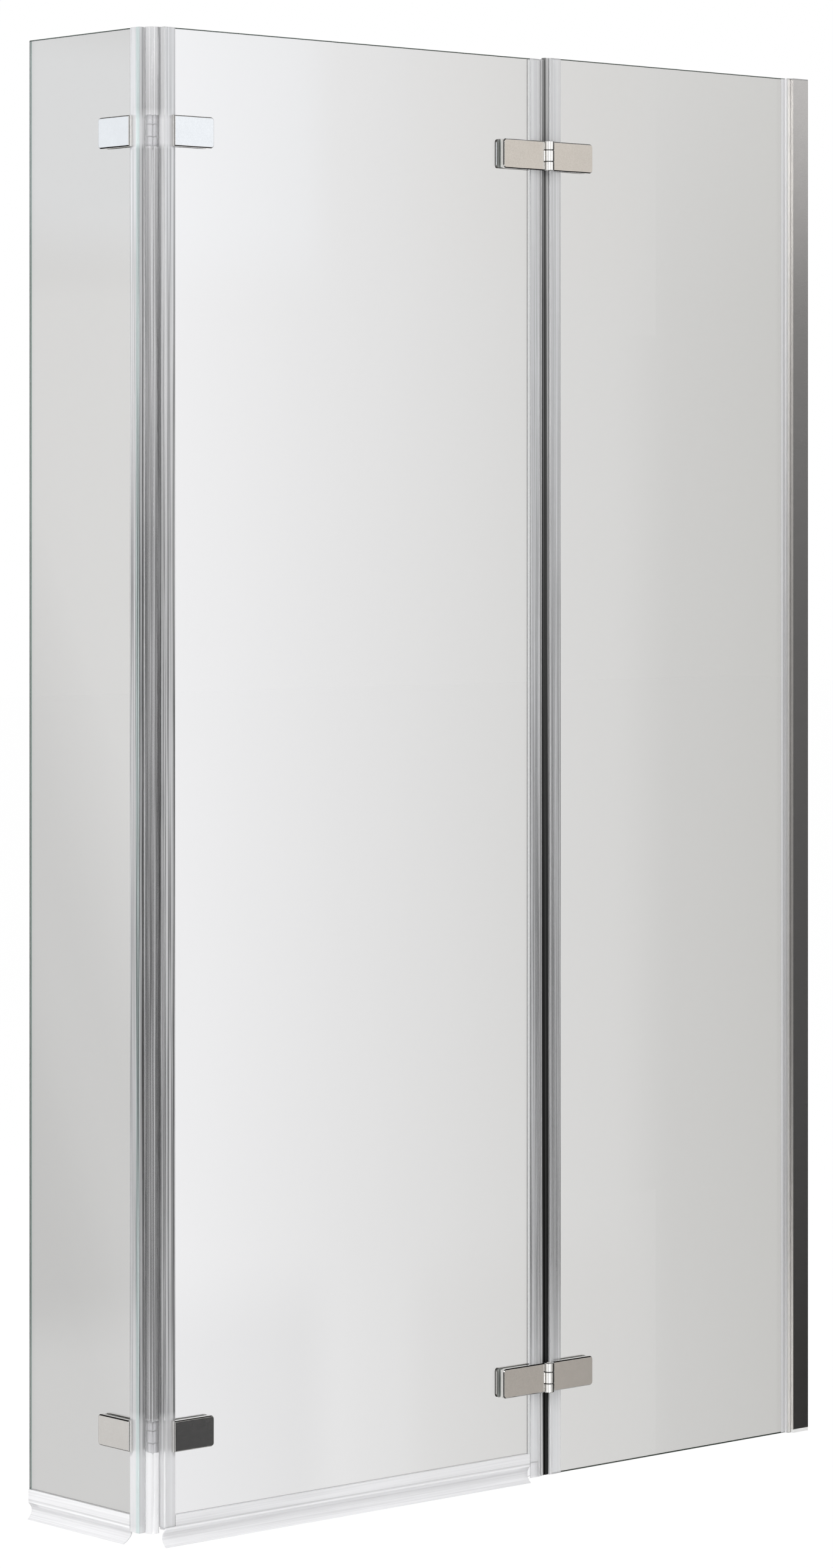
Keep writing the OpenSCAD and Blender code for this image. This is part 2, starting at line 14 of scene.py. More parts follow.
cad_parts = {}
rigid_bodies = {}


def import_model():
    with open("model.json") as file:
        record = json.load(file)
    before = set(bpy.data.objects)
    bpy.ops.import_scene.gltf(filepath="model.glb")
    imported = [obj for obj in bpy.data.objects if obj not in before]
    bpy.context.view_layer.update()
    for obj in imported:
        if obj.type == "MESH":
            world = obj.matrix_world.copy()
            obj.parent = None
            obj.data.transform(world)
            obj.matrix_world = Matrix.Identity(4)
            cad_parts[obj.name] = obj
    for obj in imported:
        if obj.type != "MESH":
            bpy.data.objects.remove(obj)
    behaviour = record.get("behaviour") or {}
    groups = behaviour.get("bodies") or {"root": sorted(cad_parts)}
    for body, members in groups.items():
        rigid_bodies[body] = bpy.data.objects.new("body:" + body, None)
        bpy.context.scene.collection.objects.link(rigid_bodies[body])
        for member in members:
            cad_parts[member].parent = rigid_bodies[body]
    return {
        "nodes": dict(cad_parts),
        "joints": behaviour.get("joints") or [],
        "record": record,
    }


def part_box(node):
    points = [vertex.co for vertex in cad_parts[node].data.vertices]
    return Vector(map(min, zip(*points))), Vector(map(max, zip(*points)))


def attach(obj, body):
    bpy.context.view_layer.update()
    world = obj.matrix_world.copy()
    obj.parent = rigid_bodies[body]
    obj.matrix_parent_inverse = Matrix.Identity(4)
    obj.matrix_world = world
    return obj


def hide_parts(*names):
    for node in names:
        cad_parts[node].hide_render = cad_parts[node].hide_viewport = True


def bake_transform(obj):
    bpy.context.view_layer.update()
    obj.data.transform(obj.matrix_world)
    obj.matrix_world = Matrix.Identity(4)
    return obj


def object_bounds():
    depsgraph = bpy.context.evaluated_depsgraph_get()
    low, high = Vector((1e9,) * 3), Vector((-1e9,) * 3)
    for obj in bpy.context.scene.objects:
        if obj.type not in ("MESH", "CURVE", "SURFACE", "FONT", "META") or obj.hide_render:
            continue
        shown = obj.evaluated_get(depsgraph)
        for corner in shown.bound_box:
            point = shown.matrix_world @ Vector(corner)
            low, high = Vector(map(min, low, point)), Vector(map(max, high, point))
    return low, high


bl_info = {
    "name": "Folding Bath Screen",
    "version": (1, 0, 0),
    "blender": (4, 5, 0),
    "location": "View3D > Sidebar > Bath Screen",
    "description": "Builds the finishes of a three-panel folding glass bath screen and its studio",
    "category": "Object",
}

# The default scene's own objects would count in the CAD box.
bpy.ops.object.select_all(action="SELECT")
bpy.ops.object.delete()

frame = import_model()
CAD_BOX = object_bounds()

MM = 0.001
RETURN_JOINT = frame["joints"][1]
SCREEN_TOP = CAD_BOX[1][2]
CORNER_AXIS = Vector(RETURN_JOINT["pos_m"])

# The photograph in pixels: its height, the row at the camera's height, and the focal length
PHOTO_H, PHOTO_HORIZON, PHOTO_FOCAL = 2576, 860.5, 7890.0

# Holes through the glass for the hinge screws' collars, and the length of their drill
GLASS_HOLE, DRILL_LENGTH = 10 * MM, 40 * MM
# How far from its axis a corner hinge is painted lighter, as painted light where it shows through
# the web
LIT_KNUCKLE_REACH = 6 * MM
# How much of the far gasket shows beside the near one, through the pane
GASKET_SHOWS = 5.2 * MM
# The return's edge faces this near to its far end are its free edge
EDGE_BAND = 10 * MM
# The order of a pane's finishes
PANE_FACE, PANE_RIM, PANE_FREE, PANE_JOINT, PANE_BEDDED = range(5)
# Air between a pane's face and the pads that touch it, so that light leaves the glass
PANE_PLAY = 0.02 * MM
# Fine ribs along the clear seals: distance in mm from the tip of the leg
JOINT_RIBS = (0.5, 2.5, 5.4, 9.7, 14.2)
CORNER_RIBS = (0.5, 3.4, 8.2, 11.8)
# The web's ripples: how far apart round the corner and up it
RIPPLE_PITCH, RIPPLE_LENGTH = 2.2 * MM, 120 * MM
# How far apart the web is cut across, and how far on both sides of its axis it bends
WEB_CUT_PITCH, WEB_BEND = 20 * MM, 6 * MM
# Widths of the softened edges of the clips, their ribs, the dark strips and the wiper seals
CLIP_EDGE, RIB_EDGE, STRIP_EDGE, WIPER_EDGE = 0.3 * MM, 0.05 * MM, 0.8 * MM, 0.2 * MM
# How far inside the pane's bath face a clip's far leg starts
FAR_LEG_PLAY = 0.1 * MM
# The faces of a hinge plate above this size are satin, and the others bright
SATIN_AREA = 50 * MM * MM
# Edges sharper than this, in degrees, are softened or kept sharp
SHARP = 35.0
# Corners of a mesh nearer than this are one, and faces that turn less than this are one
SAME_PLACE, SAME_PLANE = 0.002 * MM, math.radians(1.0)
# A face this near to a plane lies on it
ON_PLANE = 0.01 * MM
# Depth of the fine lines on drawn metal and plastic
LINE_DEPTH = 0.02 * MM


def span(node_name, axis):
    """Lowest and highest place of a CAD node along one axis."""
    low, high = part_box(node_name)
    return low[axis], high[axis]


# -------------------- what a user may change


def length_setting(name, description, default):
    """A length that a user may change."""
    return FloatProperty(name=name, description=description, default=default, unit="LENGTH")


def colour_setting(name, description, default):
    """A colour that a user may change."""
    return FloatVectorProperty(
        name=name, description=description, default=default, size=3, subtype="COLOR"
    )


class ScreenSizes(bpy.types.PropertyGroup):
    """Sizes of the details that the CAD leaves plain."""

    glass_arris: length_setting(
        "Glass arris", "Width of the ground edge round each pane", 0.7 * MM
    )
    metal_edge: length_setting(
        "Metal edge", "Width of the softened edges of the aluminium profiles", 0.25 * MM
    )
    plate_edge: length_setting(
        "Plate edge", "Width of the softened edges of the hinge plates and knuckles", 0.18 * MM
    )
    rib_width: length_setting("Rib width", "Width of the fine ribs along the clear seals", 0.7 * MM)
    rib_height: length_setting(
        "Rib height", "Height of the fine ribs along the clear seals", 0.18 * MM
    )
    web_ripple: length_setting(
        "Web ripple", "Depth of the ripples in the corner's soft web", 0.3 * MM
    )


class ScreenColours(bpy.types.PropertyGroup):
    """Colours of the glass, the metals and the seals."""

    # The glass's tint, from its light end to its dark end, is painted shade, darker towards the
    # wall
    glass_shade_light: colour_setting(
        "Glass, light end", "Tint of the door's glass at the corner", (0.86, 0.86, 0.87)
    )
    glass_shade_dark: colour_setting(
        "Glass, dark end", "Tint of the glass at the wall", (0.60, 0.595, 0.58)
    )
    glass_edge: colour_setting(
        "Glass edge", "Ground edges of the glass, dark because light is lost along the pane",
        (0.10, 0.125, 0.11),
    )
    green_edge: colour_setting("Green edge", "The return's free upright edge", (0.34, 0.52, 0.46))
    satin_metal: colour_setting(
        "Satin metal", "Satin faces of the hinge plates", (0.61, 0.59, 0.565)
    )
    bright_metal: colour_setting(
        "Bright metal", "Polished bevels and barrels", (0.86, 0.85, 0.83)
    )
    aluminium: colour_setting("Aluminium", "Wall channel", (0.56, 0.545, 0.535))
    clear_plastic: colour_setting(
        "Clear plastic", "Tint of the clear seals, the web and the gaskets", (0.985, 0.985, 1.0)
    )
    floor: colour_setting("Floor", "Studio floor", (0.9, 0.9, 0.9))


class ScreenStudio(bpy.types.PropertyGroup):
    """The camera's place and the studio's light."""

    camera_place: FloatVectorProperty(
        name="Camera place", description="Where the camera stands",
        default=(-3.590, -3.483, 0.9396), size=3, subtype="TRANSLATION", unit="LENGTH",
    )
    camera_turn: FloatProperty(
        name="Camera turn", description="Direction of the view, from +Y towards +X",
        default=math.radians(41.29), subtype="ANGLE", unit="ROTATION",
    )
    rim_height: length_setting(
        "Bath rim height", "Height of the bath rim, on which the screen stands, above the floor",
        0.56,
    )
    daylight: FloatProperty(
        name="Daylight", description="Strength of the light from all round", default=0.72
    )
    key_power: FloatProperty(
        name="Key light", description="Power of the large soft light", default=90.0, unit="POWER"
    )


# -------------------- node trees


def node(tree, kind, sockets=None, **settings):
    """Adds a node, sets its properties, and fills or links its sockets by name or number."""
    made = tree.nodes.new(f"ShaderNode{kind}")
    for name, value in settings.items():
        setattr(made, name, value)
    for key, value in (sockets or {}).items():
        if isinstance(value, bpy.types.NodeSocket):
            tree.links.new(value, made.inputs[key])
        else:
            made.inputs[key].default_value = value
    return made


def mapped(tree, value, low, high, to_low=0.0, to_high=1.0, **settings):
    """A value carried from one range over to another."""
    ranges = {"From Min": low, "From Max": high, "To Min": to_low, "To Max": to_high}
    return node(tree, "MapRange", {"Value": value, **ranges}, **settings).outputs["Result"]


def math_of(tree, operation, first, second=0.0, clamp=False):
    """The result of one operation on one or two values."""
    sockets = {0: first, 1: second}
    return node(tree, "Math", sockets, operation=operation, use_clamp=clamp).outputs[0]


def dot(tree, place, direction):
    """How far a place lies along a direction."""
    made = node(tree, "VectorMath", {0: place, 1: direction}, operation="DOT_PRODUCT")
    return made.outputs["Value"]


def ramp(tree, factor, stops):
    """A colour ramp. Each stop is a place and a grey or a colour."""
    made = node(tree, "ValToRGB", {"Fac": factor})
    elements = made.color_ramp.elements
    while len(elements) < len(stops):
        elements.new(0.5)
    for element, (place, value) in zip(elements, stops):
        element.position = place
        colour = value if isinstance(value, tuple) else (value,) * 3
        element.color = (*colour, 1.0)
    return made.outputs["Color"]


def place_in(tree, kind="Object"):
    """The place of a point in the object's coordinates, or in another kind."""
    return node(tree, "TexCoord").outputs[kind]


def stretched(tree, place, scale):
    """A place with each axis scaled."""
    return node(tree, "Mapping", {"Vector": place, "Scale": scale}).outputs["Vector"]


def group_shell(name, inputs, outputs):
    """An empty node group with float or vector sockets. Returns it with its two end nodes."""
    tree = bpy.data.node_groups.new(name, "ShaderNodeTree")
    kinds = {"float": "NodeSocketFloat", "vector": "NodeSocketVector"}
    for label, kind, default in inputs:
        socket = tree.interface.new_socket(label, in_out="INPUT", socket_type=kinds[kind])
        if default is not None:
            socket.default_value = default
    for label, kind in outputs:
        tree.interface.new_socket(label, in_out="OUTPUT", socket_type=kinds[kind])
    return tree, tree.nodes.new("NodeGroupInput"), tree.nodes.new("NodeGroupOutput")


def drawn_lines_group():
    """Fine lines along one axis, broken up by long waves, as a die leaves on metal or plastic."""
    tree, start, end = group_shell(
        "Drawn lines",
        [("Vector", "vector", None), ("Strength", "float", 0.2), ("Base", "float", 0.2),
         ("Spread", "float", 0.1)],
        [("Roughness", "float"), ("Normal", "vector"), ("Lines", "float")],
    )
    given = start.outputs
    fine = node(
        tree, "TexNoise",
        {"Vector": given["Vector"], "Scale": 1.0, "Detail": 3.0, "Roughness": 0.6},
    ).outputs["Fac"]
    spread = math_of(tree, "MULTIPLY", fine, given["Spread"])
    rough = math_of(tree, "ADD", given["Base"], spread)
    bump = node(
        tree, "Bump", {"Strength": given["Strength"], "Distance": LINE_DEPTH, "Height": fine}
    ).outputs["Normal"]
    for label, value in (("Roughness", rough), ("Normal", bump), ("Lines", fine)):
        tree.links.new(value, end.inputs[label])


def handling_group():
    """Faint smears and specks from handling: a value about 1 that multiplies a colour."""
    tree, start, end = group_shell(
        "Handling marks",
        [("Vector", "vector", None), ("Amount", "float", 0.1)],
        [("Factor", "float")],
    )
    cloud = node(
        tree, "TexNoise",
        {"Vector": start.outputs["Vector"], "Scale": 14.0, "Detail": 4.0, "Distortion": 0.6},
    ).outputs["Fac"]
    centred = math_of(tree, "SUBTRACT", cloud, 0.5)
    scaled = math_of(tree, "MULTIPLY", centred, start.outputs["Amount"])
    tree.links.new(math_of(tree, "ADD", scaled, 1.0), end.inputs["Factor"])


def placed_group(tree, name, sockets):
    """A node group placed in a material, with its sockets filled. Returns its outputs."""
    return node(tree, "Group", sockets, node_tree=bpy.data.node_groups[name]).outputs


def drawn_lines(tree, shader, scale, strength, base, spread, place=None):
    """Gives a shader the grain of the drawn lines, and returns the lines themselves."""
    vector = stretched(tree, place or place_in(tree), scale)
    made = placed_group(
        tree, "Drawn lines",
        {"Vector": vector, "Strength": strength, "Base": base, "Spread": spread},
    )
    for label in ("Roughness", "Normal"):
        tree.links.new(made[label], shader.inputs[label])
    return made["Lines"]


def handling_marks(tree, scale, amount):
    """The factor of the handling marks, at a scale and with a strength."""
    sockets = {"Vector": stretched(tree, place_in(tree), scale), "Amount": amount}
    return placed_group(tree, "Handling marks", sockets)["Factor"]


def new_material(name, **plain):
    """A Principled material with plain values on its sockets. Returns its tree and its shader."""
    material = bpy.data.materials.new(name)
    material.use_nodes = True
    shader = material.node_tree.nodes["Principled BSDF"]
    for key, value in plain.items():
        shader.inputs[key.replace("_", " ").title().replace("Ior", "IOR")].default_value = value
    return material.node_tree, shader


def paint(tree, shader, colour, factor):
    """Gives a shader a colour multiplied by a varying factor."""
    if not isinstance(colour, bpy.types.NodeSocket):
        colour = tuple(colour)
    varied = node(tree, "VectorMath", {0: colour, "Scale": factor}, operation="SCALE")
    tree.links.new(varied.outputs["Vector"], shader.inputs["Base Color"])


# -------------------- materials


def height_ramp(tree, place, stops):
    """A colour ramp up the screen. Each stop is a height in metres and a grey or a colour."""
    height = node(tree, "SeparateXYZ", {0: place}).outputs["Z"]
    share = mapped(tree, height, 0.0, SCREEN_TOP)
    return ramp(tree, share, [(z / SCREEN_TOP, value) for z, value in stops])


def share_across(tree, place, across):
    """How much of a band lies before a place. `across` is its direction, start and width in mm."""
    direction, start, width = across
    return mapped(tree, dot(tree, place, direction), start * MM, (start + width) * MM)


def blended(tree, factor, first, second, kind="MIX"):
    """Two colours mixed by a factor."""
    sockets = {0: factor, 6: first, 7: second}
    return node(tree, "Mix", sockets, data_type="RGBA", blend_type=kind).outputs[2]


def multiplied(tree, first, second):
    """Two colours multiplied."""
    return blended(tree, 1.0, first, second, "MULTIPLY")


def shaded_glass_material(name, stops, axis, low, high, shade_heights, lean=0.0, head=None):
    """Clear glass whose tint is painted shade: darker along one axis and up the pane.

    The painted shade of `shade_heights` leans: its tones rise by `lean` for each metre of depth.
    Those of `head` are a second factor of painted shade, and stay level.
    """
    tree, shader = new_material(name, transmission_weight=1.0, ior=1.5, roughness=0.0)
    place = place_in(tree)
    parts = node(tree, "SeparateXYZ", {0: place}).outputs
    along = ramp(tree, mapped(tree, parts[axis], low, high), stops)
    leaning = dot(tree, place, (0, -lean, 1))
    upward = node(tree, "CombineXYZ", {"Z": leaning}).outputs[0]
    tint = multiplied(tree, along, height_ramp(tree, upward, shade_heights))
    if head:
        tint = multiplied(tree, tint, height_ramp(tree, place, head))
    paint(tree, shader, tint, handling_marks(tree, (0.5, 0.5, 0.2), 0.015))


def glass_edge_material(name, colour, transmission):
    """The ground edge of the glass, which looks dark or green through its length."""
    tree, shader = new_material(name, transmission_weight=transmission, ior=1.5)
    drawn_lines(tree, shader, (900, 900, 40), 0.3, 0.12, 0.2)
    paint(tree, shader, colour, handling_marks(tree, (8, 8, 3), 0.5))


def metal_material(name, colour, roughness, spread, grain_scale, strength):
    """Bare metal with a fine grain and faint handling marks."""
    tree, shader = new_material(name, metallic=1.0)
    lines = drawn_lines(tree, shader, grain_scale, strength, roughness, spread)
    grained = mapped(tree, lines, 0.3, 0.7, 0.94, 1.04)
    marks = handling_marks(tree, (6, 6, 6), 0.08)
    paint(tree, shader, colour, math_of(tree, "MULTIPLY", marks, grained))


def seal_material(name, colours, light, deep, across, bands, transmission=0.6, grain=0.5,
                  on_sheet=False, stretch=(1100, 1100, 3), tints=None):
    """Clear drawn plastic: fine drawn lines along it, and bands of painted shade and painted
    highlight that the lines streak.

    `light` and `deep` give both greys of the painted shade up the screen, and `across` is the
    direction, the start and the width, in mm, that `bands` of painted shade and painted reflection
    spread over: 0 is the light grey and 1 the deep one. A soft sheet takes its places from its own
    UV map, which gives the way round it and the height.
    """
    tree, shader = new_material(name, transmission_weight=transmission, ior=1.5)
    place = place_in(tree, "UV" if on_sheet else "Object")
    if on_sheet:
        upright = {"Vector": place, "Rotation": (math.radians(90), 0, 0)}
        place = node(tree, "Mapping", upright).outputs["Vector"]
    share = share_across(tree, place, across)
    depth = ramp(tree, share, bands)
    lines = drawn_lines(tree, shader, stretch, 0.1, 0.0, 0.05, place)
    streak = mapped(tree, lines, 0.4, 0.6, -grain, grain)
    factor = math_of(tree, "ADD", depth, streak, clamp=True)
    tone = blended(tree, factor, height_ramp(tree, place, light), height_ramp(tree, place, deep))
    tint = multiplied(tree, tone, (*colours.clear_plastic, 1.0))
    if tints:
        tint = multiplied(tree, tint, ramp(tree, share, tints))
    tree.links.new(tint, shader.inputs["Base Color"])


def shaded_strip_material(name, across, bands, clear, shade_heights, bright):
    """Strip painted dark as the joint's shade, greyer towards the top as painted reflection,
    with clear sides that the dark leans between.
    """
    tree, shader = new_material(name, specular_ior_level=0.15)
    place = place_in(tree)
    lines = drawn_lines(tree, shader, (1500, 1500, 8), 0.3, 0.32, 0.2)
    streaks = mapped(tree, lines, 0.3, 0.7, 0.8, 1.2)
    share = share_across(tree, place, across)
    dark = multiplied(tree, height_ramp(tree, place, shade_heights), ramp(tree, share, bands))
    tone = blended(tree, ramp(tree, share, clear), dark, height_ramp(tree, place, bright))
    paint(tree, shader, tone, streaks)


def plastic_material(name, colour, roughness):
    """Moulded plastic with a faint texture."""
    tree, shader = new_material(name, ior=1.5)
    drawn_lines(tree, shader, (1500, 1500, 1500), 0.25, roughness, 0.15)
    paint(tree, shader, colour, handling_marks(tree, (9, 9, 9), 0.12))


# Tint of the glass inside its seals, where the panes' painted shade stops
BARE_GLASS = (0.93, 0.95, 0.94)
# The glass's painted shade at the middle joint, from its light end at 0 to its dark one at 1, and
# the return's painted shade as a multiple of that
JOINT_SHARE, RETURN_SHARE = 0.7, 1.077
# How far the return's painted shade rises for each metre into the bath
RETURN_SHADE_LEAN = 1.78
# How far the middle joint's lines lean towards the wall, per height
JOINT_LEAN = 0.0035
# Painted shade of the clear seals, the web and the gaskets up the screen, darkest at mid-height,
# with painted highlights where the corner's hinges show through: height in metres, then grey
CORNER_LIGHT_SHADE = ((0.081, 1.0), (0.112, 0.95), (0.12, 0.8), (0.45, 0.74), (0.92, 0.8), (1.14, 0.86),
                (1.286, 0.88), (1.289, 1.0), (1.316, 1.0), (1.319, 0.88))
CORNER_DEEP_SHADE = ((0.081, 0.9), (0.084, 0.6), (0.112, 0.56), (0.12, 0.15), (0.45, 0.05),
               (0.7, 0.06), (0.92, 0.1), (1.14, 0.28), (1.286, 0.4), (1.289, 0.9), (1.316, 0.9),
               (1.319, 0.45), (1.4, 0.55))
WEB_LIGHT_SHADE = ((0.084, 1.0), (0.114, 0.68), (0.22, 0.52), (0.45, 0.56), (0.92, 0.64),
             (1.14, 0.76), (1.286, 0.8), (1.289, 0.98), (1.316, 0.98), (1.319, 0.82), (1.4, 0.9))
WEB_DEEP_SHADE = ((0.081, 0.96), (0.084, 0.85), (0.111, 0.85), (0.114, 0.2), (0.45, 0.13),
            (0.7, 0.15), (0.92, 0.2), (1.14, 0.34), (1.286, 0.5), (1.289, 0.9), (1.316, 0.9),
            (1.319, 0.55), (1.4, 0.7))
MIDDLE_LIGHT_SHADE = ((0.06, 1.0), (0.14, 0.92), (0.22, 0.8), (0.53, 0.78), (0.68, 0.84),
                (0.85, 0.88), (1.16, 0.96), (1.4, 0.97))
MIDDLE_DEEP_SHADE = ((0.0, 0.95), (0.06, 0.9), (0.14, 0.5), (0.22, 0.28), (0.53, 0.26), (0.68, 0.32),
               (0.85, 0.42), (1.16, 0.64), (1.4, 0.82))
LOW_LIGHT = ((0.0, 1.0), (0.03, 1.0))
LOW_DEEP = ((0.0, 0.72), (0.03, 0.72))
GASKET_LIGHT_SHADE = ((0.0, 0.85), (0.05, 0.8), (0.2, 0.62), (0.45, 0.6), (0.85, 0.65), (1.15, 0.8),
                (1.4, 0.97))
BEDDED_LIGHT_SHADE = ((0.0, 0.76), (1.4, 0.78))
GASKET_DEEP_SHADE = ((0.0, 0.5), (0.2, 0.25), (0.45, 0.22), (0.85, 0.25), (1.15, 0.35), (1.4, 0.6))


def make_seal_materials(colours):
    """Builds the finishes of the clear seals, the web, the gaskets and the dark strips, with their
    painted shade.
    """
    seal_material(
        "Door joint seal", colours, MIDDLE_LIGHT_SHADE, MIDDLE_DEEP_SHADE,
        ((1, 0, JOINT_LEAN), -383.2, 15.5),
        [(0.03, 0.85), (0.06, 0.1), (0.13, 0.15), (0.18, 0.6), (0.27, 0.62), (0.31, 0.35),
         (0.36, 0.5), (0.45, 0.78), (0.55, 0.68), (0.7, 0.62), (0.78, 0.3), (0.85, 0.28),
         (0.89, 0.85), (1.0, 0.95)],
    )
    seal_material(
        "Fixed joint seal", colours, MIDDLE_LIGHT_SHADE, MIDDLE_DEEP_SHADE,
        ((1, 0, JOINT_LEAN), -357.7, 15.5),
        [(0.0, 0.75), (0.04, 0.62), (0.2, 0.75), (0.26, 0.96), (0.36, 0.96), (0.42, 0.78),
         (0.48, 0.64), (0.6, 0.72), (0.72, 0.64), (0.9, 0.56), (0.94, 0.7), (0.97, 0.97)],
    )
    seal_material(
        "Return corner seal", colours, CORNER_LIGHT_SHADE, CORNER_DEEP_SHADE, ((1, -1, 0), -886.6, 21.5),
        [(0.0, 0.35), (0.04, 0.1), (0.18, 0.22), (0.3, 0.1), (0.42, 0.12), (0.45, 0.4),
         (0.62, 0.42), (0.64, 0.58), (0.69, 0.58), (0.72, 0.05), (0.78, 0.1), (0.81, 0.8),
         (0.87, 0.78), (0.9, 0.5), (1.0, 0.25)],
        transmission=0.35,
        tints=[(0.41, (1, 1, 1)), (0.44, (0.88, 1, 0.98)), (0.64, (0.88, 1, 0.98)),
               (0.67, (1, 1, 1))],
    )
    seal_material(
        "Door corner seal", colours, CORNER_LIGHT_SHADE, CORNER_DEEP_SHADE, ((1, -1, 0), -848.5, 21.5),
        [(0.1, 0.87), (0.12, 1.0), (0.18, 1.0), (0.21, 0.3), (0.25, 0.0), (0.3, 0.25),
         (0.33, 0.6), (0.41, 0.62), (0.44, 0.8), (0.475, 0.3), (0.51, 0.1), (0.55, 0.2),
         (0.6, 0.5), (0.66, 0.25), (0.73, 0.45), (0.83, 0.25), (0.88, 0.45), (0.91, 0.95),
         (0.95, 0.9), (0.98, 0.3)],
        transmission=0.35,
    )
    seal_material(
        "Corner web", colours, WEB_LIGHT_SHADE, WEB_DEEP_SHADE, ((1, 0, 0), 0, 17),
        [(0.12, 0.2), (0.15, 0.9), (0.35, 0.92), (0.39, 0.72), (0.43, 0.72), (0.46, 0.9),
         (0.5, 0.75), (0.56, 0.42), (0.6, 0.5), (0.64, 0.55), (0.66, 0.2), (0.69, 0.3),
         (0.73, 1.0), (0.86, 1.0), (0.92, 0.87)],
        transmission=0.75, on_sheet=True,
    )
    seal_material(
        "Bottom seal", colours, LOW_LIGHT, LOW_DEEP, ((0, 0, 1), -4.5, 28.5),
        [(0.0, 0.1), (0.15, 0.2), (0.3, 0.08), (0.45, 0.2), (0.58, 0.1), (0.61, 0.2),
         (0.635, 1.0), (0.665, 1.0), (0.69, 0.12), (1.0, 0.05)],
        transmission=0.12, grain=0.25, stretch=(4, 4, 900),
    )
    seal_material(
        "Clear far leg", colours, LOW_LIGHT, LOW_DEEP, ((1, 1, 0), 0, 40), [(0.0, 0.1), (1.0, 0.0)],
        transmission=0.95, grain=0.15,
    )
    # The gaskets' greys are painted shade, darker at mid-height
    seal_material(
        "Clear gasket", colours, GASKET_LIGHT_SHADE, GASKET_DEEP_SHADE, ((1, 0, 0), -27.4, 7.4),
        [(0.0, 0.4), (0.08, 0.0), (0.5, 0.3), (1.0, 0.6)],
        transmission=0.0, grain=0.3,
    )
    # The fixed pane's room face over the gasket is painted opaque in painted light, with a painted
    # shadow line at the gap
    seal_material(
        "Shaded bedded glass", colours, BEDDED_LIGHT_SHADE, GASKET_DEEP_SHADE, ((1, 0, 0), -32.8, 5.4),
        [(0.5, 0.0), (0.56, 0.85), (0.64, 0.85), (0.7, 0.3), (0.85, 0.1), (0.92, 0.5), (1.0, 0.3)],
        transmission=0.0, grain=0.04,
    )
    # The strips' darkness is painted shade in the joint, and their lighter tops a painted
    # reflection
    shaded_strip_material(
        "Joint strip", ((1, 0, JOINT_LEAN), -370, 15),
        [(0.2, 0.9), (0.27, 0.3), (0.36, 0.2), (0.46, 0.9), (0.52, 0.8), (0.6, 0.3), (0.76, 0.5)],
        [(0.17, 1.0), (0.21, 0.0), (0.76, 0.0), (0.8, 1.0)],
        ((0.0, 0.022), (0.22, 0.024), (0.53, 0.047), (0.85, 0.093), (1.16, 0.18), (1.4, 0.45)),
        ((0.0, 0.6), (0.1, 0.4), (0.3, 0.22), (0.53, 0.25), (0.85, 0.35), (1.4, 0.55)),
    )


def make_materials(colours):
    """Builds every finish of the screen once."""
    drawn_lines_group()
    handling_group()
    bare, light, dark = BARE_GLASS, Vector(colours.glass_shade_light), Vector(colours.glass_shade_dark)
    joint = light.lerp(dark, JOINT_SHARE)
    beside_bath = tuple(joint * RETURN_SHARE)
    # The panes' tints are painted shade: darker towards the wall and the bottom, and on the return
    # also near its top
    shaded_glass_material(
        "Door glass",
        [(0.018, bare), (0.019, tuple(light)), (0.973, tuple(joint)), (0.974, bare)],
        "X", *span("door_glass", 0), ((0.0, 0.975), (1.4, 1.0)),
    )
    shaded_glass_material(
        "Fixed glass",
        [(0.035, bare), (0.036, tuple(joint)), (0.951, tuple(dark)), (0.952, bare)],
        "X", *span("fixed_glass", 0), ((0.0, 0.985), (1.4, 1.0)),
    )
    shaded_glass_material(
        "Return glass", [(0.051, bare), (0.052, beside_bath)], "Y", *span("return_glass", 1),
        ((0.0, 0.79), (0.1, 0.815), (0.18, 0.85), (0.25, 0.866), (0.35, 0.866), (0.42, 0.885),
         (0.5, 0.92), (0.58, 0.955), (0.65, 0.99), (0.75, 1.0)),
        lean=RETURN_SHADE_LEAN, head=((1.15, 1.0), (1.2, 0.94), (1.24, 0.88)),
    )
    glass_edge_material("Glass edge", colours.glass_edge, 0.0)
    glass_edge_material("Green glass edge", colours.green_edge, 0.4)
    # A lighter, clearer copy of the glass edge: painted light on the edges that stand in the joints
    glass_edge_material("Lit joint glass edge", (0.86, 0.98, 0.95), 0.9)
    metal_material("Satin hinge metal", colours.satin_metal, 0.1, 0.06, (900, 900, 900), 0.12)
    metal_material("Bright hinge metal", colours.bright_metal, 0.04, 0.03, (500, 500, 500), 0.04)
    # A lighter copy of the bright metal: painted light on the corner hinges where they show through
    # the web
    metal_material("Lit hinge metal", (0.98, 0.98, 0.99), 0.14, 0.06, (500, 500, 500), 0.04)
    metal_material("Channel aluminium", colours.aluminium, 0.12, 0.08, (700, 700, 700), 0.12)
    metal_material("Profile aluminium", colours.bright_metal, 0.25, 0.1, (900, 900, 4), 0.2)
    metal_material("Screw steel", colours.bright_metal, 0.18, 0.1, (2500, 2500, 2500), 0.2)
    metal_material("Pin steel", colours.bright_metal, 0.2, 0.1, (900, 900, 20), 0.2)
    plastic_material("Clear pad", (0.9, 0.95, 0.92), 0.25)
    plastic_material("Black nylon", (0.02, 0.02, 0.02), 0.4)
    plastic_material("Light cap", (0.87, 0.87, 0.86), 0.35)
    plastic_material("Grey cap", (0.42, 0.42, 0.42), 0.35)
    make_seal_materials(colours)


# -------------------- modelling helpers


def only(obj):
    """Makes one object the only selected and active one."""
    bpy.ops.object.select_all(action="DESELECT")
    obj.select_set(True)
    bpy.context.view_layer.objects.active = obj


